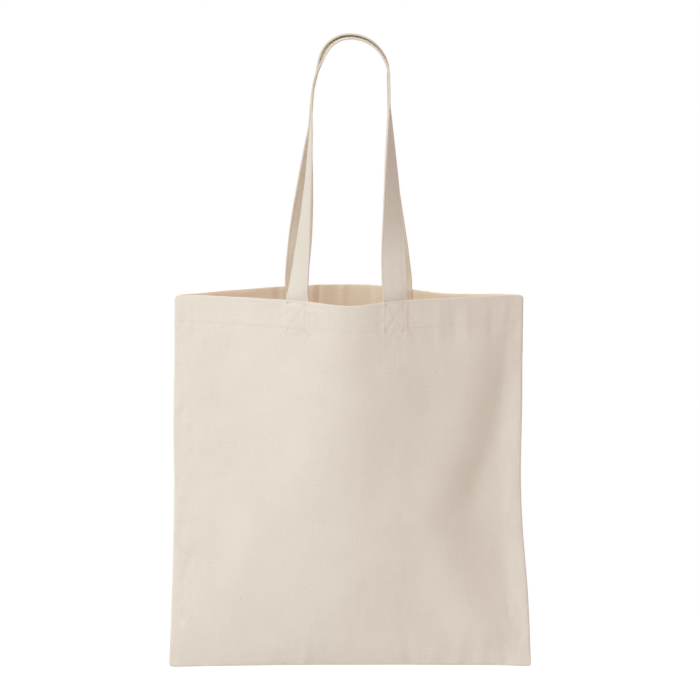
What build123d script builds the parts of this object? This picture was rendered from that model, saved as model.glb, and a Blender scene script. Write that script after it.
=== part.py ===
from build123d import *
from math import atan2, cos, degrees, pi, sin, sqrt
import os

# Canvas tote bag hanging from its two handles, sizes in millimetres.
# The origin is the hang point, inside the top of the handle arch.
# +Z is up, +X runs to the right of the front panel, which faces -Y.

# Bag body
bag_width = 380.0            # flat width between the side seams
bag_height = 395.0           # rim to bottom seam
mouth_bow = 65.0             # how far each panel bows out at the rim
middle_run = 60.0            # half length of the rounded middle, straight beside it
bottom_bow = 0.6             # how far each panel bows out at the bottom seam
cloth_thick = 0.7            # one ply of canvas
hem_depth = 28.0             # turned hem at the rim
upright_depth = 40.0         # part of the panel below the rim that hangs upright
seam_allowance = 10.0        # overlocked cloth inside each seam

# Handles
handle_drop = 262.0          # rim to the inside of the arch
handle_width = 25.0
handle_thick = 1.8           # folded strap
handle_spacing = 98.0        # between strap centres, measured along the cloth
arch_radius = 37.0           # inside radius of the arch
sewn_depth = 32.0            # strap below the rim
strap_rise = 5.0             # sewn strap above the rim, where it starts to bend
bend_offset = 7.0            # swing axis outside the middle of the strap
twist_share = 0.85           # part of each leg in which the strap turns edge on

# Sewing thread
thread_wide = 0.5
thread_high = 0.3
hem_row_inset = 1.0          # hem row above the lower edge of the hem
row_end_inset = 4.0          # hem row ends short of the side edges
edge_row_inset = 2.5         # strap rows from the strap edges
box_inset = 2.0              # boxed cross from the strap edges and the rim

# Clearances
ply_gap = 0.12               # between plies that lie on each other
thread_gap = 0.1             # between thread and cloth
row_gap = 0.1                # between a thread row and one that crosses it
bend_gap = 1.25              # between a sewn strap end and its loop
handle_gap = 1.2             # between the two straps at the arch

# Sizes that follow
rim_z = -handle_drop
bottom_z = rim_z - bag_height
edge_offset = 2 * cloth_thick + ply_gap
hem_thick = 2 * cloth_thick + ply_gap
strap_inset = hem_thick + ply_gap
fold_bevel = 0.5             # bevel of the rim fold, as a share of one ply
section_count = 16           # level slices of the curved part of a panel
leg_section_count = 11       # slices of a twisting strap leg


def half_turn(bow):
    # turn of the straight sides of a level slice that is as long as the bag is wide and rises by the bow
    side_run = bag_width / 2 - middle_run
    low, high = 1e-7, pi / 2
    for _ in range(60):
        middle = (low + high) / 2
        if middle_run * (1 - cos(middle)) / middle + side_run * sin(middle) < bow:
            low = middle
        else:
            high = middle
    return low


def cloth_turn(bow, run):
    # angle of the cloth to the front, at a run from its middle
    return half_turn(bow) * max(-1, min(1, run / middle_run))


def cloth_point(bow, inset, run):
    # place on a level slice of the front cloth, run along it from the middle, inset into the bag
    half, turn = half_turn(bow), cloth_turn(bow, run)
    radius = middle_run / half
    side_run = bag_width / 2 - middle_run
    beyond = max(0, abs(run) - middle_run)
    centre_y = radius * cos(half) - side_run * sin(half) - edge_offset
    x = (radius - inset) * sin(turn) + beyond * cos(turn) * (1 if run > 0 else -1)
    return x, centre_y - (radius - inset) * cos(turn) + beyond * sin(half)


def cloth_line(bow, inset, start, end):
    # one edge of a level slice: an arc in the middle and a straight line each side of it
    stops = [start] + [stop for stop in (-middle_run, middle_run) if start < stop < end] + [end]
    line = []
    for near, far in zip(stops, stops[1:]):
        places = [cloth_point(bow, inset, run) for run in (near, (near + far) / 2, far)]
        line.append(ThreePointArc(*places) if abs(near + far) / 2 < middle_run else Line(places[0], places[2]))
    return line


def cloth_slice(bow, inset, thick, start, end):
    # level slice of a ply, between two runs along the cloth
    outer = cloth_line(bow, inset, start, end)
    inner = cloth_line(bow, inset + thick, start, end)
    ends = [Line(outer[0] @ 0, inner[0] @ 0), Line(outer[-1] @ 1, inner[-1] @ 1)]
    return make_face(outer + inner + ends)


def rim_ply(inset, thick, start, end, low, high):
    # upright ply near the rim, between two heights
    return extrude(Pos(0, 0, low) * cloth_slice(mouth_bow, inset, thick, start, end), high - low)


def panel_stations(top_z):
    # bow and height of each level slice, from the bottom seam to the top of the piece
    span = bag_height - upright_depth
    for step in range(section_count):
        rise = (step / (section_count - 1)) ** 2
        bow = bottom_bow + (mouth_bow - bottom_bow) * sqrt(sin(pi / 2 * rise))
        yield bow, bottom_z + span * rise
    upright_z = bottom_z + span
    yield mouth_bow, (upright_z + top_z) / 2
    yield mouth_bow, top_z


def front_panel():
    # cloth from the bottom seam to the fold of the hem
    half_width = bag_width / 2
    return loft([Pos(0, 0, z) * cloth_slice(bow, 0, cloth_thick, -half_width, half_width)
                 for bow, z in panel_stations(rim_z - cloth_thick - ply_gap)], ruled=True)


def front_hem():
    # fold over the rim, and the ply that it turns down inside
    half_width = bag_width / 2
    fold_z = rim_z - cloth_thick
    inner_ply = rim_ply(cloth_thick + ply_gap, cloth_thick, -half_width, half_width, rim_z - hem_depth, fold_z)
    fold = rim_ply(0, hem_thick, -half_width, half_width, fold_z, rim_z)
    rim_edges = fold.edges().group_by(Axis.Z)[-1].filter_by(lambda edge: edge.length > 2 * hem_thick)
    return inner_ply + chamfer(rim_edges, fold_bevel * cloth_thick)


def side_seam():
    # both allowances inside the right edge, below the hem
    slices = []
    for bow, z in panel_stations(rim_z - hem_depth - ply_gap):
        edge = cloth_point(bow, 0, bag_width / 2)[0] - cloth_thick
        slices.append(Pos(edge - seam_allowance / 2, 0, z) * Rectangle(seam_allowance, 2 * cloth_thick))
    return loft(slices, ruled=True)


def bottom_seam():
    # both allowances inside the bottom edge, clear of the side seams
    reach = cloth_point(bottom_bow, 0, bag_width / 2)[0] - 2 * seam_allowance
    return Pos(0, 0, bottom_z + seam_allowance / 2) * Box(2 * reach, 2 * cloth_thick, seam_allowance)


def hem_stitching():
    # needle thread outside in one row, bobbin thread inside between the strap ends
    row_z = rim_z - hem_depth + hem_row_inset
    row_end = bag_width / 2 - row_end_inset
    strap_near = handle_spacing / 2 - handle_width / 2 - row_gap
    strap_far = handle_spacing / 2 + handle_width / 2 + row_gap
    rows = [rim_ply(-thread_gap - thread_high, thread_high, -row_end, row_end, row_z, row_z + thread_wide)]
    for start, end in ((-row_end, -strap_far), (-strap_near, strap_near), (strap_far, row_end)):
        inside = hem_thick + thread_gap
        rows.append(rim_ply(inside, thread_high, start, end, row_z, row_z + thread_wide))
    return rows


def strap_end(side):
    # sewn end of the front strap, on the inside of the hem
    centre = side * handle_spacing / 2
    start, end = centre - handle_width / 2, centre + handle_width / 2
    return rim_ply(strap_inset, handle_thick, start, end, rim_z - sewn_depth, rim_z + strap_rise)


def stitch_plane(side, inset):
    # upright plane along the cloth at a strap, facing out of the bag
    run = side * handle_spacing / 2
    x, y = cloth_point(mouth_bow, inset, run)
    turn = cloth_turn(mouth_bow, run)
    middle_z = rim_z - sewn_depth / 2
    return Plane((x, y, middle_z), x_dir=(cos(turn), sin(turn), 0), z_dir=(sin(turn), -cos(turn), 0))


def boxed_cross():
    # outline of the sewn box with both diagonals
    wide = handle_width - 2 * box_inset
    tall = sewn_depth - 2 * box_inset
    line = Rectangle(wide, tall) - Rectangle(wide - 2 * thread_wide, tall - 2 * thread_wide)
    reach = sqrt((wide - thread_wide) ** 2 + (tall - thread_wide) ** 2)
    lean = degrees(atan2(tall - thread_wide, wide - thread_wide))
    for angle in (lean, -lean):
        line += Rot(0, 0, angle) * Rectangle(reach - thread_wide, thread_wide)
    return line


def box_stitching(side):
    # needle thread over the hem row outside, bobbin thread on the strap inside
    curve_drop = handle_width ** 2 * half_turn(mouth_bow) / (8 * middle_run)
    outside = -thread_gap - thread_high - row_gap
    inside = strap_inset + handle_thick + thread_gap + curve_drop + thread_high
    return [extrude(stitch_plane(side, inset) * boxed_cross(), thread_high) for inset in (outside, inside)]


def loop_base():
    # middle of the strap where the loop leaves the sewn end
    x, y = cloth_point(mouth_bow, strap_inset + handle_thick / 2, handle_spacing / 2)
    return x, y, rim_z + strap_rise + bend_gap


def loop_lean():
    # angle at which the front loop leans in, so that its arch ends beside the back one
    y, z = loop_base()[1:]
    lean = 0.0
    for _ in range(20):
        top_y = -handle_gap / 2 - handle_width / 2 * cos(lean) + handle_thick / 2 * sin(lean)
        top_z = handle_thick / 2 * cos(lean) + handle_width / 2 * sin(lean)
        lean = atan2(top_y - y, top_z - z)
    return lean, (top_z - z) / cos(lean)


def front_loop(across, out, wide, thick):
    # strap or thread along the loop, placed across the strap and out from its middle
    base_x, base_y, base_z = loop_base()
    lean, length = loop_lean()
    up = Vector(0, sin(lean), cos(lean))
    front = Vector(0, -cos(lean), sin(lean))
    right = Vector(1, 0, 0)
    middle_radius = arch_radius + handle_thick / 2
    leg_length = length - middle_radius
    first_turn = cloth_turn(mouth_bow, handle_spacing / 2)

    def leg_centre(share):
        x = middle_radius + (base_x - middle_radius) * (1 - share) ** 1.5
        return Vector(0, base_y, base_z) + right * x + up * (leg_length * share)

    def leg_section(step):
        share = step / (leg_section_count - 1)
        eased = 0.5 - 0.5 * cos(pi * min(1, share / twist_share))
        turn = first_turn + (pi / 2 - first_turn) * eased
        outward = front * cos(turn) + right * sin(turn)
        along = right * cos(turn) - front * sin(turn)
        plane = Plane(leg_centre(share), x_dir=along, z_dir=along.cross(outward))
        return plane * Pos(across, out) * Rectangle(wide, thick)

    sections = [leg_section(step) for step in range(leg_section_count)]
    leg = loft(sections, ruled=True)
    centre = Vector(0, base_y, base_z) + up * leg_length
    arch = revolve(sections[-1], Axis(centre, front), 180)
    return leg + arch + mirror(leg, Plane.YZ)


def handle_stitching():
    # a row of thread along each edge of the strap, on its outer face
    across = handle_width / 2 - edge_row_inset
    out = handle_thick / 2 + thread_gap + thread_high / 2
    return [front_loop(side * across, out, thread_wide, thread_high) for side in (-1, 1)]


def to_back(shapes):
    return [mirror(shape, Plane.XZ) for shape in shapes]


nodes = {
    "front_panel": [front_panel()],
    "front_hem": [front_hem()],
    "right_side_seam": [side_seam()],
    "bottom_seam": [bottom_seam()],
    "front_hem_stitching": hem_stitching(),
    "front_left_strap_end": [strap_end(-1)],
    "front_right_strap_end": [strap_end(1)],
    "front_left_box_stitching": box_stitching(-1),
    "front_right_box_stitching": box_stitching(1),
    "front_handle_loop": [front_loop(0, 0, handle_width, handle_thick)],
    "front_handle_stitching": handle_stitching(),
}
nodes["left_side_seam"] = [mirror(nodes["right_side_seam"][0], Plane.YZ)]
for name in [name for name in nodes if name.startswith("front_")]:
    nodes[name.replace("front_", "back_")] = to_back(nodes[name])

os.makedirs("parts", exist_ok=True)
for name, shapes in nodes.items():
    export_step(Compound(children=[solid for shape in shapes for solid in shape.solids()]), f"parts/{name}.step")

_, strap_y, loop_z = loop_base()
print("front swing axis, y and z", round(strap_y - bend_offset, 3), round(loop_z - bend_gap / 2, 3))
print("lean of the loops in degrees", round(degrees(loop_lean()[0]), 2))
print("width of the mouth", round(2 * cloth_point(mouth_bow, 0, bag_width / 2)[0], 2))
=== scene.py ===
import functools
import math
import bmesh
import bpy
from mathutils import Matrix, Vector, noise


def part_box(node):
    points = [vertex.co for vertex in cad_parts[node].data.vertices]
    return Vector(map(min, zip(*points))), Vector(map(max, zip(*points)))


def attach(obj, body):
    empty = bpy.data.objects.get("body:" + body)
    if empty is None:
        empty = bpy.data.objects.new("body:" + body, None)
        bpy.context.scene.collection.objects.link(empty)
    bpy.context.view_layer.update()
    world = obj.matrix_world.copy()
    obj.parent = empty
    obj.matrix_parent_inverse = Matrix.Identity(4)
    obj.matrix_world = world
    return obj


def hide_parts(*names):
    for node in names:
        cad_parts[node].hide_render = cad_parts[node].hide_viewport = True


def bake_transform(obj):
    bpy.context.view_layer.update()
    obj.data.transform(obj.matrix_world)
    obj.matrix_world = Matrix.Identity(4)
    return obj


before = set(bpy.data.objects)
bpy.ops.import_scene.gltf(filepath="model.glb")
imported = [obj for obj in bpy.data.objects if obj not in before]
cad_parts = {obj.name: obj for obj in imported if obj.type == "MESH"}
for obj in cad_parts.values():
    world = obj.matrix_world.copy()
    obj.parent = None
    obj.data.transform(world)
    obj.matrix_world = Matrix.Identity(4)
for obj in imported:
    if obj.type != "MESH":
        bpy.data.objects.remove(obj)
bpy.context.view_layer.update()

panelLow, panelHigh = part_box("front_panel")
hemLow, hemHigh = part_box("front_hem")

# sizes that every piece shares, taken from the frame
bag = {
    "width": panelHigh.x - panelLow.x,
    "height": hemHigh.z - panelLow.z,
    "bottomZ": panelLow.z,
    "rimZ": hemHigh.z,
    "hemDepth": hemHigh.z - hemLow.z,
    "seamHalf": 0.00152,         # half the thickness at the side seams
    "seamGap": 0.00005,          # each cloth stays this far from the middle of its seams
    "bottomBow": 0.0006,
    "upright": 0.040,            # part below the rim that hangs upright
    "middleRun": 0.060,          # half length of the rounded middle, straight beside it
    "clothThick": 0.0006,
    "foldRadius": 0.00042,       # turn of the hem at the rim
    "edgeRoll": 0.0022,          # roll of the cloth into its seams
    "rollStart": 0.0001,         # the roll begins this far below the bottom edge
}
bag["mouthBow"] = -panelLow.y - bag["seamHalf"]
halfWidth = bag["width"] / 2


def ease(value):
    value = min(1.0, max(0.0, value))
    return value * value * (3 - 2 * value)


def bell(value):
    return math.exp(-value * value)


@functools.lru_cache(maxsize=None)
def sideTurn(bow):
    # turn of the straight sides of a level slice that is as long as the bag is wide and rises by the bow
    rounded, straight = bag["middleRun"], halfWidth - bag["middleRun"]
    low, high = 1e-7, math.pi / 2
    for _ in range(50):
        middle = (low + high) / 2
        if rounded * (1 - math.cos(middle)) / middle + straight * math.sin(middle) < bow:
            low = middle
        else:
            high = middle
    return low


def pathDistance(path, x, y):
    best = math.inf
    for (startX, startY), (endX, endY) in zip(path, path[1:]):
        dx, dy = endX - startX, endY - startY
        along = ((x - startX) * dx + (y - startY) * dy) / (dx * dx + dy * dy)
        along = min(1.0, max(0.0, along))
        best = min(best, math.hypot(x - startX - along * dx, y - startY - along * dy))
    return best


def rough(seed, x, y, swings):
    return noise.noise(Vector((x * swings, y * swings, seed)))


def uneven(style, waves, run, height):
    # waves have a depth, a seed and their swings in a metre
    return sum(deep * rough(style["seed"] + seed, run, height, swings) for deep, seed, swings in waves)


# folds are paths of run and height in metres, a width and a depth, outward positive
# puckers have a run, a width and a depth, and the drop of the rim a run, a lift and a depth
frontStyle = {
    "side": -1, "seed": 2.3, "straps": (-0.0535, 0.0468), "drop": (0.100, 0.0, 0.0), "puckersBelow": 0.026,
    "centreBulge": 0.0030, "strapPinch": -0.0020, "strapLift": 0.0006, "centreLift": -0.0026, "rimLift": 0.0024,
    "folds": [
        ([(-0.006, 0.395), (-0.008, 0.270), (-0.075, 0.170), (-0.125, 0.100)], 0.036, 0.0026),
        ([(0.194, 0.330), (0.176, 0.270), (0.150, 0.190), (0.170, 0.100), (0.192, 0.036)], 0.036, -0.0058),
        ([(0.176, 0.300), (0.160, 0.245), (0.138, 0.195)], 0.018, -0.0026),
        ([(0.140, 0.330), (0.112, 0.235), (0.082, 0.172), (0.106, 0.105), (0.140, 0.040)], 0.030, 0.0046),
        ([(-0.140, 0.340), (-0.128, 0.220), (-0.138, 0.120)], 0.018, -0.0010),
    ],
    "puckers": [
        (-0.048, 0.0052, 0.0024), (-0.086, 0.0080, 0.0014), (0.064, 0.0064, -0.0032), (0.086, 0.0066, 0.0020),
        (0.112, 0.0072, 0.0026), (0.137, 0.0066, 0.0024), (0.166, 0.0056, -0.0032), (-0.150, 0.0090, -0.0014),
    ],
    "hemPuckers": [
        (0.095, 0.0040, 0.0010), (0.112, 0.0045, -0.0010), (0.125, 0.0040, 0.0009), (0.154, 0.0045, -0.0011),
        (0.169, 0.0035, 0.0009), (-0.120, 0.0060, -0.0004), (0.000, 0.0060, -0.0004), (-0.168, 0.0040, -0.0006),
    ],
}
backStyle = {
    "side": 1, "seed": 7.9, "straps": (-0.0585, 0.0590), "drop": (0.104, -0.0036, -0.0090), "puckersBelow": 0.012,
    "centreBulge": 0.0030, "strapPinch": -0.0020, "strapLift": 0.0004, "centreLift": -0.0012, "rimLift": 0.0010,
    "folds": [
        ([(0.020, 0.395), (0.014, 0.240)], 0.030, 0.0028),
        ([(-0.160, 0.340), (-0.128, 0.230), (-0.100, 0.140)], 0.022, -0.0046),
        ([(0.120, 0.250), (0.160, 0.120)], 0.026, -0.0032),
        ([(-0.036, 0.160), (0.040, 0.060)], 0.036, 0.0022),
    ],
    "puckers": [
        (0.060, 0.0060, 0.0016), (-0.060, 0.0070, -0.0016), (-0.110, 0.0070, 0.0018), (0.132, 0.0060, -0.0018),
    ],
    "hemPuckers": [
        (0.110, 0.0045, 0.0006), (-0.096, 0.0045, -0.0006), (-0.140, 0.0050, 0.0006), (-0.078, 0.0034, 0.0020),
        (-0.041, 0.0034, -0.0018), (-0.032, 0.0030, 0.0020), (-0.007, 0.0036, -0.0018), (0.022, 0.0044, 0.0016),
    ],
}
styles = {-1: frontStyle, 1: backStyle}

sewn = {"depth": 0.032, "inset": 0.002, "halfWide": 0.0105}      # strap end below the rim, and its sewn box
boxRelief = {
    "reachRun": 0.028, "reachDown": 0.050,
    "swell": 0.00080, "swellEdge": 0.0034, "swellSoft": 0.0020,
    "draw": 0.00052, "drawSwings": 210, "drawAt": 0.003, "drawWide": 0.008,
    "boxDent": 0.0007, "crossDent": 0.0005, "dentWide": 0.0014,
}


def boxedRelief(seed, run, toRim):
    # the strap end swells the cloth a little inside its sewn box, and the stitches draw it in
    if abs(run) > boxRelief["reachRun"] or toRim > boxRelief["reachDown"]:
        return 0.0
    wide, low, high = sewn["halfWide"], sewn["inset"], sewn["depth"] - sewn["inset"]
    middle, halfTall = (low + high) / 2, (high - low) / 2
    fromBox = max(abs(run) - wide, abs(toRim - middle) - halfTall)
    slant = (toRim - middle) * (wide / halfTall)
    fromCross = min(abs(run - slant), abs(run + slant)) if fromBox < 0 else 1.0
    swell = boxRelief["swell"] * ease((boxRelief["swellEdge"] - fromBox) / boxRelief["swellSoft"])
    draw = boxRelief["draw"] * rough(seed, run, toRim, boxRelief["drawSwings"])
    draw *= bell((fromBox - boxRelief["drawAt"]) / boxRelief["drawWide"])
    boxDent = boxRelief["boxDent"] * bell(fromBox / boxRelief["dentWide"])
    crossDent = boxRelief["crossDent"] * bell(fromCross / boxRelief["dentWide"])
    return swell + draw - boxDent - crossDent


relief = {
    "broad": [(0.0016, 0, 13), (0.0007, 5, 34)],
    "fine": [(0.00022, 9, 85), (0.00010, 11, 190)],
    "drawn": [(0.0010, 15, 62)], "drawnWide": 0.012,          # cloth drawn up beside the side seams
    "flatSide": 0.024, "flatBottom": 0.050, "flatEdge": 0.006,      # folds die out towards the seams
    "mouthFade": 0.085, "mouthWide": 0.030, "dropWide": 0.055, "dropSide": 0.045,
    "puckerLean": 0.12, "puckerStart": 0.005, "puckerFade": 0.017, "hemPuckerTall": 0.018,
    "rowDent": 0.00028, "rowWide": 0.0011, "rowBelow": 0.0272, "rowSide": 0.004,      # hem row draws the cloth in
}


def foldHeight(style, run, height):
    # how far the cloth stands out from its plain bowed shape
    toSide = halfWidth - abs(run)
    toRim = bag["height"] - height
    offSide = ease(toSide / relief["flatEdge"])
    out = sum(deep * bell(pathDistance(path, run, height) / wide) for path, wide, deep in style["folds"])
    out += uneven(style, relief["broad"], run, height)
    out *= ease(toSide / relief["flatSide"]) * ease(height / relief["flatBottom"])
    nearRim = math.exp(-toRim / relief["mouthFade"])
    out += nearRim * style["centreBulge"] * bell(run / relief["mouthWide"])
    dropRun, _, dropOut = style["drop"]
    out += nearRim * dropOut * bell((run - dropRun) / relief["dropWide"]) * ease(toSide / relief["dropSide"])
    for spot in style["straps"]:
        out += nearRim * style["strapPinch"] * bell((run - spot) / relief["mouthWide"])
        out += boxedRelief(spot * 100, run - spot, toRim)
    besideSeam = bell((toSide - relief["drawnWide"]) / relief["drawnWide"])
    out += uneven(style, relief["drawn"], run * 2, height) * besideSeam * offSide
    out += uneven(style, relief["fine"], run, height) * offSide * ease(height / relief["flatEdge"])
    overBottom = ease(height / relief["puckerStart"]) * math.exp(-height / relief["puckerFade"])
    for place, wide, deep in style["puckers"]:
        lean = relief["puckerLean"] * height * math.copysign(1, deep)
        out += deep * bell((run - place - lean) / wide) * overBottom
    atHem = bell((toRim - style["puckersBelow"]) / relief["hemPuckerTall"])
    for place, wide, deep in style["hemPuckers"]:
        out += deep * bell((run - place) / wide) * atHem
    onRow = bell((toRim - relief["rowBelow"]) / relief["rowWide"])
    return out - relief["rowDent"] * onRow * ease(toSide / relief["rowSide"])


# side edges wander: hand, height, width and shift
edgeWander = [(-1, 0.275, 0.100, -0.0026), (1, 0.190, 0.065, -0.0028), (1, 0.030, 0.080, 0.0018)]
edgeShake = {"wide": 0.0004, "seed": 1.7, "swings": 18}
sway = {"wide": 0.0034, "seed": 4.4, "swings": 9, "fade": 0.030}


def sharedSway(run, height):
    # the seams sway together, front and back
    toSeam = min(halfWidth - abs(run), height)
    return sway["wide"] * rough(sway["seed"], run, height, sway["swings"]) * math.exp(-max(0.0, toSeam) / sway["fade"])


def sideShift(run, height):
    hand = math.copysign(1.0, run)
    shift = sum(shift * bell((height - at) / wide) for side, at, wide, shift in edgeWander if side == hand)
    shift += edgeShake["wide"] * rough(edgeShake["seed"], hand, height, edgeShake["swings"])
    return shift * abs(run / halfWidth) ** 3


lift = {
    "bottomArch": 0.0028, "bottomFade": 0.150,           # the bottom edge arches up in its middle
    "rim": 0.0018, "rimFade": 0.120, "strapWide": 0.034, "centreWide": 0.030, "dropWide": 0.050,
    "corners": {-1: 0.0056, 1: 0.0042},                  # the ends of the seams are turned round
    "lowCorner": 0.55, "lowFade": 0.006, "highCorner": 0.75, "highFade": 0.010,
    "waves": [(0.0006, 3, 24)], "wavesEdge": 0.030,
}


def clothLift(style, run, height):
    # how far the cloth hangs above or below its plain height
    toRim = bag["height"] - height
    toSide = halfWidth - abs(run)
    share = run / halfWidth
    up = lift["bottomArch"] * (1 - share * share) * math.exp(-height / lift["bottomFade"])
    nearRim = math.exp(-toRim / lift["rimFade"])
    up += sum(nearRim * style["strapLift"] * bell((run - spot) / lift["strapWide"]) for spot in style["straps"])
    up += nearRim * (lift["rim"] + style["rimLift"] * (1 - share ** 4))
    dropRun, dropUp, _ = style["drop"]
    centreUp = style["centreLift"] * bell(run / lift["centreWide"])
    up += nearRim * (centreUp + dropUp * bell((run - dropRun) / lift["dropWide"]))
    corner = lift["corners"][-1 if run < 0 else 1]
    rounded = corner * (1 - math.sqrt(1 - max(0.0, 1 - toSide / corner) ** 2))
    lowShare = lift["lowCorner"] * math.exp(-height / lift["lowFade"])
    highShare = lift["highCorner"] * math.exp(-toRim / lift["highFade"])
    up += rounded * (lowShare - highShare)
    inside = ease(toSide / lift["wavesEdge"]) * ease(height / lift["wavesEdge"])
    return up + uneven(style, lift["waves"], run, height) * inside


def clothPoint(style, run, height, inset=0.0):
    # place on the cloth: run from the middle of its width, height above the bottom seam, inset into the bag
    rise = min(1.0, max(0.0, height / (bag["height"] - bag["upright"])))
    bow = bag["bottomBow"] + (bag["mouthBow"] - bag["bottomBow"]) * math.sqrt(math.sin(math.pi / 2 * rise))
    half = sideTurn(round(bow, 7))
    radius = bag["middleRun"] / half
    turn = half * max(-1.0, min(1.0, run / bag["middleRun"]))
    beyond = max(0.0, abs(run) - bag["middleRun"])
    reach = radius + foldHeight(style, run, height) - inset
    # both cloths roll together at the sides and at the bottom
    nearEdge = min(halfWidth - abs(run), max(0.0, height) + bag["rollStart"])
    rollShare = min(1.0, max(0.0, nearEdge / bag["edgeRoll"]))
    roll = math.sqrt(1 - (1 - rollShare) ** 2)
    centreY = radius * math.cos(half) - (halfWidth - bag["middleRun"]) * math.sin(half)
    y = centreY - reach * math.cos(turn) + beyond * math.sin(half) - bag["seamHalf"] * roll - bag["seamGap"]
    x = reach * math.sin(turn) + math.copysign(1.0, run) * beyond * math.cos(half) + sideShift(run, height)
    z = bag["bottomZ"] + height + clothLift(style, run, height)
    return Vector((x, -style["side"] * y + sharedSway(run, height), z))


def clothNormal(style, run, height):
    step = 0.0008
    across = clothPoint(style, run + step, height) - clothPoint(style, run - step, height)
    rising = clothPoint(style, run, height + step) - clothPoint(style, run, height - step)
    return across.cross(rising).normalized() * -style["side"]


def addPiece(name, mesh):
    for polygon in mesh.polygons:
        polygon.use_smooth = True
    piece = bpy.data.objects.new(name, mesh)
    bpy.context.scene.collection.objects.link(piece)
    return piece


def finishMesh(name, bm):
    mesh = bpy.data.meshes.new(name)
    bm.to_mesh(mesh)
    bm.free()
    return addPiece(name, mesh)


def sheetMesh(columns, rows, place):
    # grid of flat cloth with its flat place as the UV map, then moved into its hung shape
    bm = bmesh.new()
    bmesh.ops.create_grid(bm, x_segments=len(columns) - 1, y_segments=len(rows) - 1, size=1)
    uv = bm.loops.layers.uv.new("cloth")
    flat = {}
    for vert in bm.verts:
        column = round((vert.co.x + 1) / 2 * (len(columns) - 1))
        row = round((vert.co.y + 1) / 2 * (len(rows) - 1))
        flat[vert] = columns[column], rows[row]
    for face in bm.faces:
        for loop in face.loops:
            loop[uv].uv = flat[loop.vert]
    for vert in bm.verts:
        vert.co = place(*flat[vert])
    return bm


def spread(start, end, step):
    count = max(1, round((end - start) / step))
    return [start + (end - start) * index / count for index in range(count + 1)]


def thicken(piece, thick, innerMaterial=0):
    solidify = piece.modifiers.new("thickness", "SOLIDIFY")
    solidify.thickness = thick
    solidify.offset = 0.0
    solidify.material_offset = innerMaterial
    return piece


class Shade:
    # one value of a shader tree: arithmetic adds Math nodes, and add makes any other node
    def __init__(self, tree, socket=None):
        self.tree, self.socket = tree, socket

    def add(self, kind, settings=None, inputs=None, output=0):
        node = self.tree.nodes.new(kind)
        for key, value in (settings or {}).items():
            setattr(node, key, value)
        for key, value in (inputs or {}).items():
            if isinstance(value, Shade):
                self.tree.links.new(value.socket, node.inputs[key])
            else:
                node.inputs[key].default_value = value
        return Shade(self.tree, node.outputs[output])

    def maths(self, operation, *others):
        return self.add("ShaderNodeMath", {"operation": operation}, dict(enumerate((self,) + others)))

    def __add__(self, other):
        return self.maths("ADD", other)

    def __radd__(self, other):
        return self.maths("ADD", other)

    def __sub__(self, other):
        return self.maths("SUBTRACT", other)

    def __rsub__(self, other):
        return self.add("ShaderNodeMath", {"operation": "SUBTRACT"}, {0: other, 1: self})

    def __mul__(self, other):
        return self.maths("MULTIPLY", other)

    def __rmul__(self, other):
        return self.maths("MULTIPLY", other)

    def ramp(self, low, high):
        return self.add("ShaderNodeMapRange", {}, {"Value": self, "From Min": low, "From Max": high})


def newMaterial(name, roughness):
    material = bpy.data.materials.new(name)
    material.use_nodes = True
    principled = material.node_tree.nodes["Principled BSDF"]
    principled.inputs["Roughness"].default_value = roughness
    principled.inputs["Specular IOR Level"].default_value = 0.2
    return material, Shade(material.node_tree), principled


def blendColours(root, factor, first, second):
    return root.add("ShaderNodeMix", {"data_type": "RGBA"}, {0: factor, 6: first, 7: second}, output=2)


canvasLook = {
    "name": "natural canvas", "roughness": 0.88,
    "pale": (0.805, 0.748, 0.670, 1), "tan": (0.680, 0.608, 0.518, 1), "fleck": (0.300, 0.215, 0.135, 1),
    "threads": 1450.0,           # threads in a metre
    "yarnAcross": 1300.0, "warpAlong": 22.0, "weftAlong": 18.0,      # swings of the yarn's thickness in a metre
    "warpSlubs": (0.68, 0.80), "weftSlubs": (0.66, 0.80),            # thick places of the yarn
    "broad": 14.0, "mottle": 420.0, "toneSpan": (0.32, 0.78),        # swings of the tone in a metre, and its range
    "fleckCells": 88.0, "fleckRarity": 0.40, "fleckSize": 0.085, "fleckEdge": 0.022,
    "raggedSwings": 1500.0, "fleckRagged": (0.0011, 0.0011, 0), "fleckStretch": (1.0, 0.62, 1.0),
    "bumpHeight": 0.00022, "bumpStrength": 0.6,
}


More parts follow.
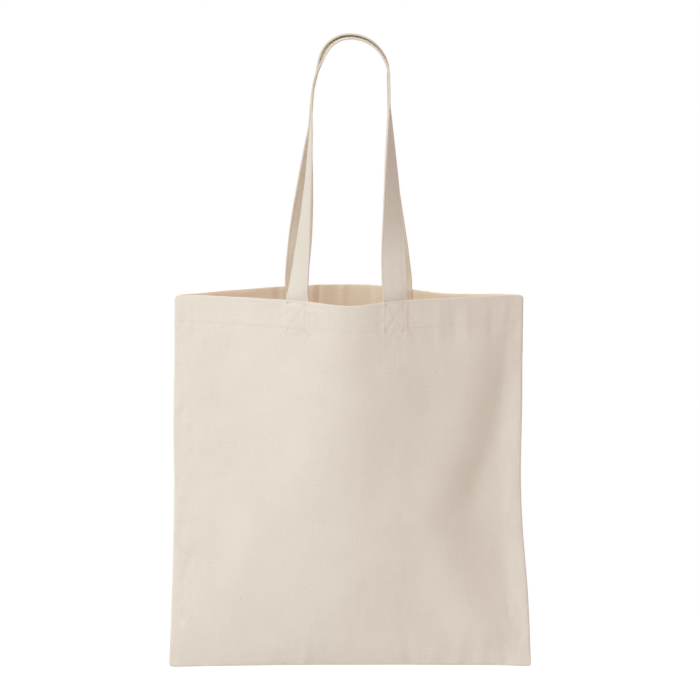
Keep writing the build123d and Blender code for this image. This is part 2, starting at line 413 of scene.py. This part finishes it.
def canvasMaterial(look):
    material, root, principled = newMaterial(look["name"], look["roughness"])
    place = root.add("ShaderNodeUVMap", {"uv_map": "cloth"})
    u = root.add("ShaderNodeSeparateXYZ", {}, {0: place}, output=0)
    v = root.add("ShaderNodeSeparateXYZ", {}, {0: place}, output=1)

    def noiseAt(spot, scale, detail, **others):
        output = others.pop("output", 0)
        return root.add("ShaderNodeTexNoise", {}, {"Vector": spot, "Scale": scale, "Detail": detail, **others}, output)

    # plain weave: warp and weft take turns on top
    warp = (u * (look["threads"] * math.pi)).maths("SINE")
    weft = (v * (look["threads"] * math.pi)).maths("SINE")
    onTop = (warp * weft).maths("GREATER_THAN", 0.0)
    weave = onTop * warp.maths("ABSOLUTE") + (1.0 - onTop) * weft.maths("ABSOLUTE")
    # uneven yarns, long along the thread and one thread wide
    warpPlace = root.add("ShaderNodeCombineXYZ", {}, {0: u * look["yarnAcross"], 1: v * look["warpAlong"], 2: 0.0})
    weftPlace = root.add("ShaderNodeCombineXYZ", {}, {0: u * look["weftAlong"], 1: v * look["yarnAcross"], 2: 4.0})
    warpYarn = noiseAt(warpPlace, 1.0, 1.0)
    weftYarn = noiseAt(weftPlace, 1.0, 1.0)
    yarn = (warpYarn + weftYarn) * 0.5
    slub = weftYarn.ramp(*look["weftSlubs"]) + warpYarn.ramp(*look["warpSlubs"])
    # broad tone, then ragged seed flecks in some cells
    broad = noiseAt(place, look["broad"], 4.0, Roughness=0.6)
    mottle = noiseAt(place, look["mottle"], 3.0)
    ragged = noiseAt(place, look["raggedSwings"], 2.0, output=1)
    fleckPlace = root.add("ShaderNodeVectorMath", {"operation": "MULTIPLY_ADD"},
                          {0: ragged, 1: look["fleckRagged"], 2: place})
    fleckPlace = root.add("ShaderNodeVectorMath", {"operation": "MULTIPLY"}, {0: fleckPlace, 1: look["fleckStretch"]})
    cells = {"Vector": fleckPlace, "Scale": look["fleckCells"]}
    fleckDistance = root.add("ShaderNodeTexVoronoi", {}, cells)
    cellColour = root.add("ShaderNodeTexVoronoi", {}, cells, output=1)
    cellChance = root.add("ShaderNodeSeparateXYZ", {}, {0: cellColour})
    fleckSize = (cellChance - look["fleckRarity"]) * look["fleckSize"]
    fleck = (fleckSize - fleckDistance).ramp(0.0, look["fleckEdge"]) * (0.30 + 0.6 * mottle)
    # shares of the tone, and below of the relief; the weave's share in the tone is painted shade, darker in the
    # hollows between the threads
    tone = 0.26 * broad + 0.30 * mottle + 0.34 * yarn - 0.10 * slub - 0.06 * weave
    colour = blendColours(root, tone.ramp(*look["toneSpan"]), look["pale"], look["tan"])
    colour = blendColours(root, fleck, colour, look["fleck"])
    root.tree.links.new(colour.socket, principled.inputs["Base Color"])
    height = weave * 0.55 + yarn * 0.7 + slub * 0.5
    relieved = {"Height": height, "Distance": look["bumpHeight"], "Strength": look["bumpStrength"]}
    bump = root.add("ShaderNodeBump", {}, relieved)
    root.tree.links.new(bump.socket, principled.inputs["Normal"])
    return material


threadLook = {
    "name": "sewing thread", "roughness": 0.6, "twist": 900.0, "toneSpan": (0.35, 0.70),
    "colour": (0.800, 0.745, 0.660, 1), "shade": (0.640, 0.575, 0.490, 1),
}


def threadMaterial(look):
    material, root, principled = newMaterial(look["name"], look["roughness"])
    place = root.add("ShaderNodeTexCoord", output=3)
    twist = root.add("ShaderNodeTexNoise", {}, {"Vector": place, "Scale": look["twist"], "Detail": 2.0})
    colour = blendColours(root, twist.ramp(*look["toneSpan"]), look["colour"], look["shade"])
    root.tree.links.new(colour.socket, principled.inputs["Base Color"])
    return material


# painted light: the inner faces of the cloth get a lighter, warmer copy of the canvas, standing in for warm light
# bounced inside the bag and shining through the cloth
insidePaintedLightLook = dict(canvasLook, name="canvas inside with painted light", pale=(0.945, 0.825, 0.685, 1), tan=(0.815, 0.675, 0.525, 1))
# painted shade: the straps are the same canvas as the bag, given a darker copy that stands in for the shade on them
strapPaintedShadeLook = dict(canvasLook, name="strap canvas", bumpHeight=0.00010,
                 pale=(0.710, 0.655, 0.580, 1), tan=(0.622, 0.562, 0.485, 1))
# painted light: the strap's inner faces get a lighter, warmer copy, standing in for warm light bounced between the
# straps and into the groove at the arch
strapInsidePaintedLightLook = dict(strapPaintedShadeLook, name="strap canvas inside with painted light",
                       pale=(0.815, 0.733, 0.618, 1), tan=(0.715, 0.624, 0.508, 1))
canvas = canvasMaterial(canvasLook)
strapPaintedShadeCanvas = canvasMaterial(strapPaintedShadeLook)
insidePaintedLightCanvas = canvasMaterial(insidePaintedLightLook)
strapInsidePaintedLight = canvasMaterial(strapInsidePaintedLightLook)
thread = threadMaterial(threadLook)
print("materials made")


# spacing of the cloth's grid, finer at the seams, the straps and the hem
grid = {
    "sideSteps": [0.0, 0.0002, 0.0005, 0.0010, 0.0018, 0.0030, 0.0045],
    "bottomSteps": [0.0, 0.0004, 0.0010, 0.0018, 0.0030, 0.0045],
    "edge": 0.0065, "plain": 0.0027,
    "strap": 0.0014, "strapFrom": 0.028, "strapTo": 0.072,
    "hem": 0.0016, "plainTo": 0.034, "hemFrom": 0.032, "hemTo": 0.002, "rim": 0.0008,      # below the rim
    "hemTurn": (0.2, 0.4, 0.6, 0.8), "hemInside": 0.003, "hemShort": 0.001,
}


def clothColumns():
    edge = halfWidth - grid["edge"]
    stops = [-edge, -grid["strapTo"], -grid["strapFrom"], grid["strapFrom"], grid["strapTo"], edge]
    middle = []
    for index, (start, end) in enumerate(zip(stops, stops[1:])):
        middle += spread(start, end, grid["strap" if index % 2 else "plain"])[index > 0:]
    left = [-halfWidth + step for step in grid["sideSteps"]]
    return left + middle + [-place for place in reversed(left)]


def clothRows():
    # from the bottom seam up the outside, over the rim and down the inside of the hem
    top = bag["height"] - bag["clothThick"] / 2 - bag["foldRadius"]
    turnLength = math.pi * bag["foldRadius"]
    rows = grid["bottomSteps"] + spread(grid["edge"], top - grid["plainTo"], grid["plain"])
    rows += spread(top - grid["hemFrom"], top - grid["hemTo"], grid["hem"]) + [top - grid["rim"], top]
    rows += [top + turnLength * share for share in grid["hemTurn"]]
    inside = spread(0.0, bag["hemDepth"] - grid["hemShort"], grid["hemInside"])
    rows += [top + turnLength + step for step in inside]
    return rows, top, turnLength


def makeCloth(name, style, nodes):
    rows, top, turnLength = clothRows()
    outer = bag["clothThick"] / 2

    def place(run, length):
        if length <= top:
            return clothPoint(style, run, length, outer)
        if length <= top + turnLength:
            angle = (length - top) / bag["foldRadius"]
            rise = bag["foldRadius"] * math.sin(angle)
            return clothPoint(style, run, top + rise, outer + bag["foldRadius"] * (1 - math.cos(angle)))
        return clothPoint(style, run, top - (length - top - turnLength), outer + 2 * bag["foldRadius"])

    bm = sheetMesh(clothColumns(), rows, place)
    uv = bm.loops.layers.uv.active
    for face in bm.faces:      # the turned hem takes the inside's painted light, like the inner face of the cloth
        face.material_index = int(min(loop[uv].uv.y for loop in face.loops) > top + 0.5 * turnLength)
    if style["side"] > 0:
        bmesh.ops.reverse_faces(bm, faces=bm.faces)
    # the inner faces get the inside copy of the canvas, with its painted light
    piece = thicken(finishMesh(name, bm), bag["clothThick"], innerMaterial=1)
    piece.data.materials.append(canvas)
    piece.data.materials.append(insidePaintedLightCanvas)
    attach(piece, "bag")
    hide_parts(*nodes)
    return piece


frontCloth = makeCloth("frontCloth", frontStyle, ["front_panel", "front_hem"])
backCloth = makeCloth("backCloth", backStyle, ["back_panel", "back_hem"])
print("cloth made")


# legs twist from the cloth's angle at the rim to edge on at the arch
# left and right leg each have pairs of height above the rim and angle in degrees
frontStrapLook = {
    "handle": "front_handle", "seed": 3.1, "settle": (1.8, 1.0), "archGrow": -0.0014, "crownRoll": 0.20,
    "turns": (
        [(-0.040, 21), (-0.010, 22), (0.000, 32), (0.012, 40), (0.050, 54), (0.110, 73), (0.168, 84), (0.190, 90),
         (0.240, 90)],
        [(-0.040, 18), (-0.004, 18), (0.018, 10), (0.036, 10), (0.050, 18), (0.080, 38), (0.110, 52), (0.144, 67),
         (0.180, 82), (0.200, 90), (0.240, 90)],
    ),
}
backStrapLook = {
    "handle": "back_handle", "seed": 6.4, "settle": (1.15, 2.0), "archGrow": 0.0008, "crownRoll": 0.33,
    "turns": (
        [(-0.040, 21), (-0.004, 21), (0.020, 12), (0.050, 12), (0.076, 29), (0.100, 45), (0.126, 60), (0.154, 76),
         (0.176, 89), (0.210, 88), (0.240, 84)],
        [(-0.040, 21), (-0.004, 21), (0.036, 22), (0.070, 36), (0.110, 56), (0.150, 76), (0.184, 90), (0.210, 92),
         (0.240, 96)],
    ),
}
strapLooks = {-1: frontStrapLook, 1: backStrapLook}
strap = {
    "halfWide": 0.0125,
    "halfThick": 0.0009,
    "crown": 1.06,               # how much thicker the folded strap is between its rows
    "rowInset": 0.0025,          # sewn rows from the strap's edges
    "rowDent": 0.00022,
    "rise": 0.0055,              # upright part above the rim
    "inset": 0.00254,            # middle of the sewn strap behind the cloth's face
    "looseFrom": -0.002,         # between these heights the strap leaves the hem
    "looseOver": 0.016,
    "bendLow": 0.002,            # part of the strap just below and above the rim
    "bendHigh": 0.012,
    "turnsEnd": 0.239,
    "archRadius": 0.0379,
    "archPlace": (0.0012, 0.0070, -0.0007),      # top of the arch, y away from the other strap
    "growOver": 0.55,            # turn of the arch over which the straps part to nest
    "slack": 0.0062,             # the left shoulder of the loop hangs slacker than the right one
    "slackBelow": 0.024,
    "slackWide": 0.020,
    "ripple": 0.0003,            # unevenness of the strap's faces, and of its width
    "rippleSwings": 40,
    "ragged": 0.012,
    "raggedSwings": 55,
    "ringStep": 0.0025,
    "endGap": 0.0006,
}


def alongPairs(pairs, value):
    # smooth curve through the pairs
    for index in range(len(pairs) - 1):
        (lowAt, low), (highAt, high) = pairs[index], pairs[index + 1]
        if value <= highAt or index == len(pairs) - 2:
            before = pairs[max(0, index - 1)]
            after = pairs[min(len(pairs) - 1, index + 2)]
            startSlope = (high - before[1]) / (highAt - before[0])
            endSlope = (after[1] - low) / (after[0] - lowAt)
            span = highAt - lowAt
            t = min(1.0, max(0.0, (value - lowAt) / span))
            return (low * (2 * t ** 3 - 3 * t ** 2 + 1) + startSlope * span * (t ** 3 - 2 * t ** 2 + t)
                    + high * (3 * t ** 2 - 2 * t ** 3) + endSlope * span * (t ** 3 - t ** 2))


@functools.lru_cache(maxsize=None)
def strapPlan(side):
    # where both legs leave the rim, and the plane of the loop between them and the arch
    style = styles[side]
    rise = Vector((0, 0, strap["rise"]))
    feet = [clothPoint(style, run, bag["height"], strap["inset"]) + rise for run in style["straps"]]
    archX, archY, archZ = strap["archPlace"]
    foot, top = (feet[0] + feet[1]) / 2, Vector((archX, side * archY, archZ))
    up = Vector((0, top.y - foot.y, top.z - foot.z))
    legLength = up.length - strap["archRadius"]
    up.normalize()
    front = Vector((0, side * up.z, -side * up.y))
    total = 2 * (sewn["depth"] + strap["rise"] + legLength) + math.pi * strap["archRadius"]
    return {"feet": feet, "top": top, "up": up, "front": front, "legLength": legLength, "total": total}


def strapLeg(side, length):
    # leg that a length from the left sewn end is on, 0 left or 1 right, and its height above the rim
    total = strapPlan(side)["total"]
    leg = int(length >= total / 2)
    return leg, (total - length if leg else length) - sewn["depth"]


def sewnPoint(side, leg, across, above, inset):
    # place on the strap where it lies on the hem, carried straight up above the rim
    style = styles[side]
    run = style["straps"][leg] + across
    return clothPoint(style, run, bag["height"] + min(0.0, above), inset) + Vector((0, 0, max(0.0, above)))


def strapStation(side, length):
    # centre of the strap and its outward direction, at a length from its left sewn end
    look, plan = strapLooks[side], strapPlan(side)
    up, front, right, radius = plan["up"], plan["front"], Vector((1, 0, 0)), strap["archRadius"]
    leg, above = strapLeg(side, length)
    hand = 1 if leg else -1
    angle = math.radians(alongPairs(look["turns"][leg], min(above, strap["turnsEnd"])))
    archCentre = plan["top"] - up * radius
    if above < strap["rise"]:
        centre = sewnPoint(side, leg, 0.0, above, strap["inset"])
        outward = Vector((hand * math.sin(angle), side * math.cos(angle), 0))
    elif above < strap["rise"] + plan["legLength"]:
        share = (above - strap["rise"]) / plan["legLength"]
        foot, end = plan["feet"][leg], archCentre + right * (hand * radius)
        centre = foot.lerp(end, share)
        centre.x = end.x + (foot.x - end.x) * (1 - share) ** look["settle"][leg]
        outward = front * math.cos(angle) + right * (hand * math.sin(angle))
    else:
        turn = (above - strap["rise"] - plan["legLength"]) / radius
        reach = radius + look["archGrow"] * ease(turn / strap["growOver"])
        centre = archCentre + right * (hand * reach * math.cos(turn)) + up * (reach * math.sin(turn))
        outward = right * (hand * math.cos(turn) * math.sin(angle)) + up * math.sin(turn)
        outward += front * (math.cos(turn) * math.cos(angle) + math.sin(turn) * look["crownRoll"])
    if leg == 0:
        shoulder = bell((plan["top"].z - strap["slackBelow"] - centre.z) / strap["slackWide"])
        shoulder *= ease((plan["top"].x - centre.x) / strap["slackWide"])
        centre = centre + right * (strap["slack"] * shoulder)
    return centre, outward


@functools.lru_cache(maxsize=None)
def strapAxes(side, length):
    # centre, direction across and direction out, square to the run of the strap
    step = 0.0006
    centre, outward = strapStation(side, length)
    direction = strapStation(side, length + step)[0] - strapStation(side, length - step)[0]
    direction.normalize()
    outward = (outward - direction * outward.dot(direction)).normalized()
    return centre, direction.cross(outward), outward


def strapPoint(side, across, out, length):
    # place on the strap: the sewn part follows the hem it lies on, and eases into the free leg above the rim
    centre, sideways, outward = strapAxes(side, length)
    free = centre + sideways * across + outward * out
    leg, above = strapLeg(side, length)
    loose = ease((above - strap["looseFrom"]) / strap["looseOver"])
    if loose == 1:
        return free
    hand = side if leg else -side      # the strap runs up its left leg and down its right one
    laid = sewnPoint(side, leg, across * hand, above, strap["inset"] - out)
    return laid.lerp(free, loose)


def strapProfile():
    # section of the strap as across and out, from one edge round both faces, with dents for the sewn rows
    wide, thick, row = strap["halfWide"], strap["halfThick"], strap["rowInset"]
    quarter = [
        (wide - 0.00016, 0.00008), (wide, thick * 0.45), (wide - 0.00022, thick * 0.82), (wide - 0.0007, thick),
        (wide - row + 0.0006, thick), (wide - row, thick - strap["rowDent"]), (wide - row - 0.0006, thick),
        (wide * 0.55, thick * strap["crown"]), (wide * 0.25, thick * (strap["crown"] + 0.02)),
    ]
    upper = quarter + [(-across, out) for across, out in reversed(quarter)]
    return upper + [(across, -out) for across, out in reversed(upper)]


def bendAtRim(piece):
    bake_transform(piece)


def makeStrap(name, side, nodes):
    profile = strapProfile()
    total, seed = strapPlan(side)["total"], strapLooks[side]["seed"]
    around = [seed]       # flat place of each point of the section, round the strap
    for (across, out), (nextAcross, nextOut) in zip(profile, profile[1:] + profile[:1]):
        around.append(around[-1] + math.hypot(nextAcross - across, nextOut - out))
    section = dict(zip(around, profile + profile[:1]))

    def place(girth, length):
        across, out = section[girth]
        ripple = strap["ripple"] * noise.noise(Vector((length * strap["rippleSwings"], seed, 0)))
        edge = 1 + strap["ragged"] * noise.noise(Vector((length * strap["raggedSwings"], seed, 3)))
        return strapPoint(side, across * edge, out + ripple * (1 - (across / strap["halfWide"]) ** 2), length)

    # a flat sheet rolled into a tube, and closed at its ends
    bm = sheetMesh(around, spread(strap["endGap"], total - strap["endGap"], strap["ringStep"]), place)
    uv = bm.loops.layers.uv.active
    # the inner half of the section takes the strap's painted light copy, the outer half its painted shade copy
    innerFrom = around[len(profile) // 2] + 1e-5
    for face in bm.faces:
        face.material_index = int(max(loop[uv].uv.x for loop in face.loops) > innerFrom)
    bmesh.ops.remove_doubles(bm, verts=bm.verts, dist=1e-6)
    bmesh.ops.holes_fill(bm, edges=[edge for edge in bm.edges if edge.is_boundary], sides=0)
    bmesh.ops.recalc_face_normals(bm, faces=bm.faces)
    piece = finishMesh(name, bm)
    piece.data.materials.append(strapPaintedShadeCanvas)
    piece.data.materials.append(strapInsidePaintedLight)
    bendAtRim(piece)
    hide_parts(*nodes)


makeStrap("frontStrap", -1, ["front_handle_loop", "front_left_strap_end", "front_right_strap_end"])
makeStrap("backStrap", 1, ["back_handle_loop", "back_left_strap_end", "back_right_strap_end"])
print("straps made")


stitch = {
    "long": 0.0024, "gap": 0.0007, "wide": 0.00026, "high": 0.00022,
    "proud": 0.35,               # middle of a stitch above the cloth, as a share of its height
    "hemRow": 0.0011,            # hem row above the hem's edge
    "hemEnd": 0.004,             # its ends from the sides, and on the inside from the middle of a strap
    "hemStrap": 0.0128,
    "strapStart": 0.001,
    "strapBed": 0.00008,         # strap rows lie this deep in their dents
}


def stitchPlace(start, end, normal):
    # matrix of one stitch between two points, sunk a little into the cloth at both ends
    along = end - start
    middle = (start + end) / 2 + normal * stitch["high"] * stitch["proud"]
    length = along.length
    along.normalize()
    side = normal.cross(along).normalized()
    turn = Matrix((along, side, along.cross(side))).transposed().to_4x4()
    return Matrix.Translation(middle) @ turn @ Matrix.Diagonal((length / 2, stitch["wide"], stitch["high"], 1))


def repeatShape(name, places):
    # one small round shape at every place
    bm = bmesh.new()
    bmesh.ops.create_uvsphere(bm, u_segments=6, v_segments=4, radius=1)
    corners = [vert.co.copy() for vert in bm.verts]
    faces = [[vert.index for vert in face.verts] for face in bm.faces]
    bm.free()
    everyCorner = [place @ corner for place in places for corner in corners]
    starts = range(0, len(everyCorner), len(corners))
    mesh = bpy.data.meshes.new(name)
    mesh.from_pydata(everyCorner, [], [[start + corner for corner in face] for start in starts for face in faces])
    piece = addPiece(name, mesh)
    piece.data.materials.append(thread)
    return piece


def sewLine(places, start, end, surface):
    # stitches between two flat places; surface gives the point and the normal there
    (startU, startV), (endU, endV) = start, end
    length = math.hypot(endU - startU, endV - startV)
    count = max(1, round(length / (stitch["long"] + stitch["gap"])))
    pad = stitch["gap"] / 2 / length

    def at(share):
        return surface(startU + (endU - startU) * share, startV + (endV - startV) * share)

    for index in range(count):
        first, normal = at(index / count + pad)
        second, _ = at((index + 1) / count - pad)
        places.append(stitchPlace(first, second, normal))


def outerFace(style):
    def surface(run, height):
        return clothPoint(style, run, height), clothNormal(style, run, height)
    return surface


def innerFace(style, inset):
    def surface(run, height):
        return clothPoint(style, run, height, inset), -clothNormal(style, run, height)
    return surface


def makeHemStitches(name, style, node):
    places = []
    row = bag["height"] - bag["hemDepth"] + stitch["hemRow"]
    reach = halfWidth - stitch["hemEnd"]
    sewLine(places, (-reach, row), (reach, row), outerFace(style))
    inside = bag["clothThick"] + 2 * bag["foldRadius"]
    left, right = style["straps"]
    clear = stitch["hemStrap"]
    ends = [-reach, left - clear, left + clear, right - clear, right + clear, reach]
    for start, end in zip(ends[::2], ends[1::2]):
        sewLine(places, (start, row), (end, row), innerFace(style, inside))
    piece = repeatShape(name, places)
    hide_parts(node)
    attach(piece, "bag")


def makeBoxStitches(name, style, leg, node):
    places = []
    low, high = bag["height"] - sewn["depth"] + sewn["inset"], bag["height"] - sewn["inset"]
    spot = style["straps"][leg]
    left, right = spot - sewn["halfWide"], spot + sewn["halfWide"]
    corners = [(left, low), (right, low), (right, high), (left, high)]
    inside = strap["inset"] + strap["halfThick"] * strap["crown"]
    for surface in (outerFace(style), innerFace(style, inside)):
        for start, end in zip(corners, corners[1:] + corners[:1]):
            sewLine(places, start, end, surface)
        sewLine(places, corners[0], corners[2], surface)
        sewLine(places, corners[1], corners[3], surface)
    piece = repeatShape(name, places)
    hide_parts(node)
    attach(piece, "bag")


def makeStrapStitches(name, side, node):
    places = []
    start = sewn["depth"] + stitch["strapStart"]
    end = strapPlan(side)["total"] - start
    row = strap["halfWide"] - strap["rowInset"]
    out = strap["halfThick"] - strap["rowDent"] - stitch["strapBed"]
    for face in (1, -1):
        def surface(across, length):
            return strapPoint(side, across, face * out, length), strapAxes(side, length)[2] * face
        for across in (row, -row):
            sewLine(places, (across, start), (across, end), surface)
    piece = repeatShape(name, places)
    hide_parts(node)
    bendAtRim(piece)


makeHemStitches("frontHemStitches", frontStyle, "front_hem_stitching")
makeHemStitches("backHemStitches", backStyle, "back_hem_stitching")
for sideName, style in (("front", frontStyle), ("back", backStyle)):
    for leg, handName in enumerate(("Left", "Right")):
        node = sideName + "_" + handName.lower() + "_box_stitching"
        makeBoxStitches(sideName + handName + "BoxStitches", style, leg, node)
makeStrapStitches("frontStrapStitches", -1, "front_handle_stitching")
makeStrapStitches("backStrapStitches", 1, "back_handle_stitching")
print("stitches made")


seam = {
    "allowance": 0.010, "thick": 0.0013, "overlockWide": 0.0048, "pitch": 0.0026,
    "wave": 0.0008, "waveStart": 0.004, "swingsAlong": 45, "swingsAcross": 60, "seed": 8.1,
    "slant": 0.3, "overEdge": 0.0003, "offEdge": 0.0004, "gridAcross": 0.0016, "gridAlong": 0.004,
    "edgeInset": 0.0006, "hemGap": 0.001, "bottomEnds": 0.020,
}


def makeSeam(name, place, length, node):
    # both allowances inside a seam, overlocked along their raw edge
    def put(depth, along):
        spot = Vector((along * seam["swingsAlong"], depth * seam["swingsAcross"], seam["seed"]))
        wave = seam["wave"] * noise.noise(spot)
        return place(depth, along, wave * min(1.0, depth / seam["waveStart"]))

    across = spread(seam["offEdge"], seam["allowance"], seam["gridAcross"])
    bm = sheetMesh(across, spread(0.0, length, seam["gridAlong"]), put)
    piece = thicken(finishMesh(name, bm), seam["thick"])
    piece.data.materials.append(canvas)
    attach(piece, "bag")
    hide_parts(node)
    places = []
    count = round(length / seam["pitch"])
    slant = seam["pitch"] * seam["slant"]
    for out in (seam["thick"] / 2, -seam["thick"] / 2):
        for index in range(count):
            along = (index + 0.5) * length / count
            start = place(seam["allowance"] - seam["overlockWide"], along - slant, out)
            end = place(seam["allowance"] + seam["overEdge"], along + slant, out)
            normal = place(seam["allowance"], along, out) - place(seam["allowance"], along, 0.0)
            places.append(stitchPlace(start, end, normal.normalized()))
    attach(repeatShape(name + "Overlock", places), "bag")


def seamEdge(run, height, inset=0.0):
    return (clothPoint(frontStyle, run, height, inset) + clothPoint(backStyle, run, height, inset)) / 2


def sidePlace(hand):
    def place(depth, along, out):
        edge = seamEdge(hand * halfWidth, along, seam["edgeInset"])
        return edge + Vector((-hand * (depth + seam["offEdge"]), out, 0))
    return place


def bottomPlace(depth, along, out):
    edge = seamEdge(along - (halfWidth - seam["bottomEnds"]), seam["edgeInset"])
    return edge + Vector((0, out, depth + seam["offEdge"]))


sideLength = bag["height"] - bag["hemDepth"] - seam["hemGap"]
makeSeam("leftSideSeam", sidePlace(-1), sideLength, "left_side_seam")
makeSeam("rightSideSeam", sidePlace(1), sideLength, "right_side_seam")
makeSeam("bottomSeam", bottomPlace, bag["width"] - 2 * seam["bottomEnds"], "bottom_seam")
print("seams made")

clothLength = clothRows()[0][-1]


# the room's light is darker and redder from the far right
room = {
    "floorZ": -1.10, "floorSize": 9.0, "floorTone": (0.64, 0.63, 0.62, 1), "floorGlow": 0.44, "floorFade": (0.9, 1.7),
    "leftTone": (0.970, 0.984, 0.968, 1), "rightTone": (0.26, 0.080, 0.066, 1), "worldLight": 1.32,
    "rightStart": 0.24, "rightEnd": 0.77,
}
keyLamp = {
    "name": "key", "power": 4.5, "size": 0.9, "tone": (0.90, 1.0, 0.975),
    "place": (-1.9, -1.4, 0.65), "aim": (0, 0, -0.42),
}
backLamp = {
    "name": "back", "power": 10.0, "size": 0.9, "tone": (1.0, 0.965, 0.925),
    "place": (0.3, 1.4, 1.35), "aim": (0, 0, -0.28),
}


def makeLamp(lamp):
    light = bpy.data.lights.new(lamp["name"], "AREA")
    light.energy, light.size, light.color = lamp["power"], lamp["size"], lamp["tone"]
    source = bpy.data.objects.new(lamp["name"], light)
    source.location = lamp["place"]
    source.rotation_euler = (Vector(lamp["aim"]) - source.location).to_track_quat("-Z", "Y").to_euler()
    bpy.context.scene.collection.objects.link(source)


def cameraRay(root):
    names = ("Is Camera Ray", "Is Glossy Ray", "Is Transmission Ray")
    camera, glossy, through = (root.add("ShaderNodeLightPath", output=name) for name in names)
    return (camera + glossy + through).ramp(0.0, 1.0)


def makeFloor():
    # pale floor that the camera sees as white except in the bag's shadow
    bm = bmesh.new()
    bmesh.ops.create_grid(bm, x_segments=1, y_segments=1, size=room["floorSize"])
    bmesh.ops.translate(bm, verts=bm.verts, vec=(0, 0, room["floorZ"]))
    floor = finishMesh("floor", bm)
    material, root, principled = newMaterial("pale floor", 0.95)
    principled.inputs["Base Color"].default_value = room["floorTone"]
    glow = root.add("ShaderNodeEmission", {}, {"Strength": room["floorGlow"]})
    plain = Shade(root.tree, principled.outputs[0])
    both = root.add("ShaderNodeAddShader", {}, {0: plain, 1: glow})
    white = root.add("ShaderNodeEmission", {}, {"Strength": 1.0})
    place = root.add("ShaderNodeTexCoord", output=3)
    middle = (0, 0, room["floorZ"])
    away = root.add("ShaderNodeVectorMath", {"operation": "DISTANCE"}, {0: place, 1: middle}, output=1)
    backdrop = root.add("ShaderNodeMixShader", {}, {0: away.ramp(*room["floorFade"]), 1: both, 2: white})
    seen = root.add("ShaderNodeMixShader", {}, {0: cameraRay(root), 1: plain, 2: backdrop})
    root.tree.links.new(seen.socket, root.tree.nodes["Material Output"].inputs["Surface"])
    floor.data.materials.append(material)


def makeWorld():
    world = bpy.data.worlds.new("white room")
    bpy.context.scene.world = world
    world.use_nodes = True
    root = Shade(world.node_tree)
    direction = root.add("ShaderNodeTexCoord", output=0)
    fromRight = root.add("ShaderNodeSeparateXYZ", {}, {0: direction}).ramp(room["rightStart"], room["rightEnd"])
    tone = blendColours(root, fromRight, room["leftTone"], room["rightTone"])
    light = root.add("ShaderNodeBackground", {}, {"Color": tone, "Strength": room["worldLight"]})
    backdrop = root.add("ShaderNodeBackground", {}, {"Color": (1, 1, 1, 1), "Strength": 1.0})
    seen = root.add("ShaderNodeMixShader", {}, {0: cameraRay(root), 1: light, 2: backdrop})
    root.tree.links.new(seen.socket, root.tree.nodes["World Output"].inputs["Surface"])


view = {"distance": 2.0, "elevation": 10.5, "target": (0.0007, 0.0, -0.3174), "lens": 100.5, "sensor": 36}


def makeCamera():
    camera = bpy.data.objects.new("camera", bpy.data.cameras.new("camera"))
    bpy.context.scene.collection.objects.link(camera)
    tilt = math.radians(view["elevation"])
    back = Vector((0, -math.cos(tilt), math.sin(tilt)))
    camera.location = Vector(view["target"]) + back * view["distance"]
    camera.rotation_euler = (-back).to_track_quat("-Z", "Y").to_euler()
    camera.data.lens = view["lens"]
    camera.data.sensor_width = view["sensor"]
    bpy.context.scene.camera = camera


makeFloor()
makeWorld()
makeLamp(keyLamp)
makeLamp(backLamp)
makeCamera()
bpy.context.scene.view_settings.view_transform = "Standard"
print("room and camera made")
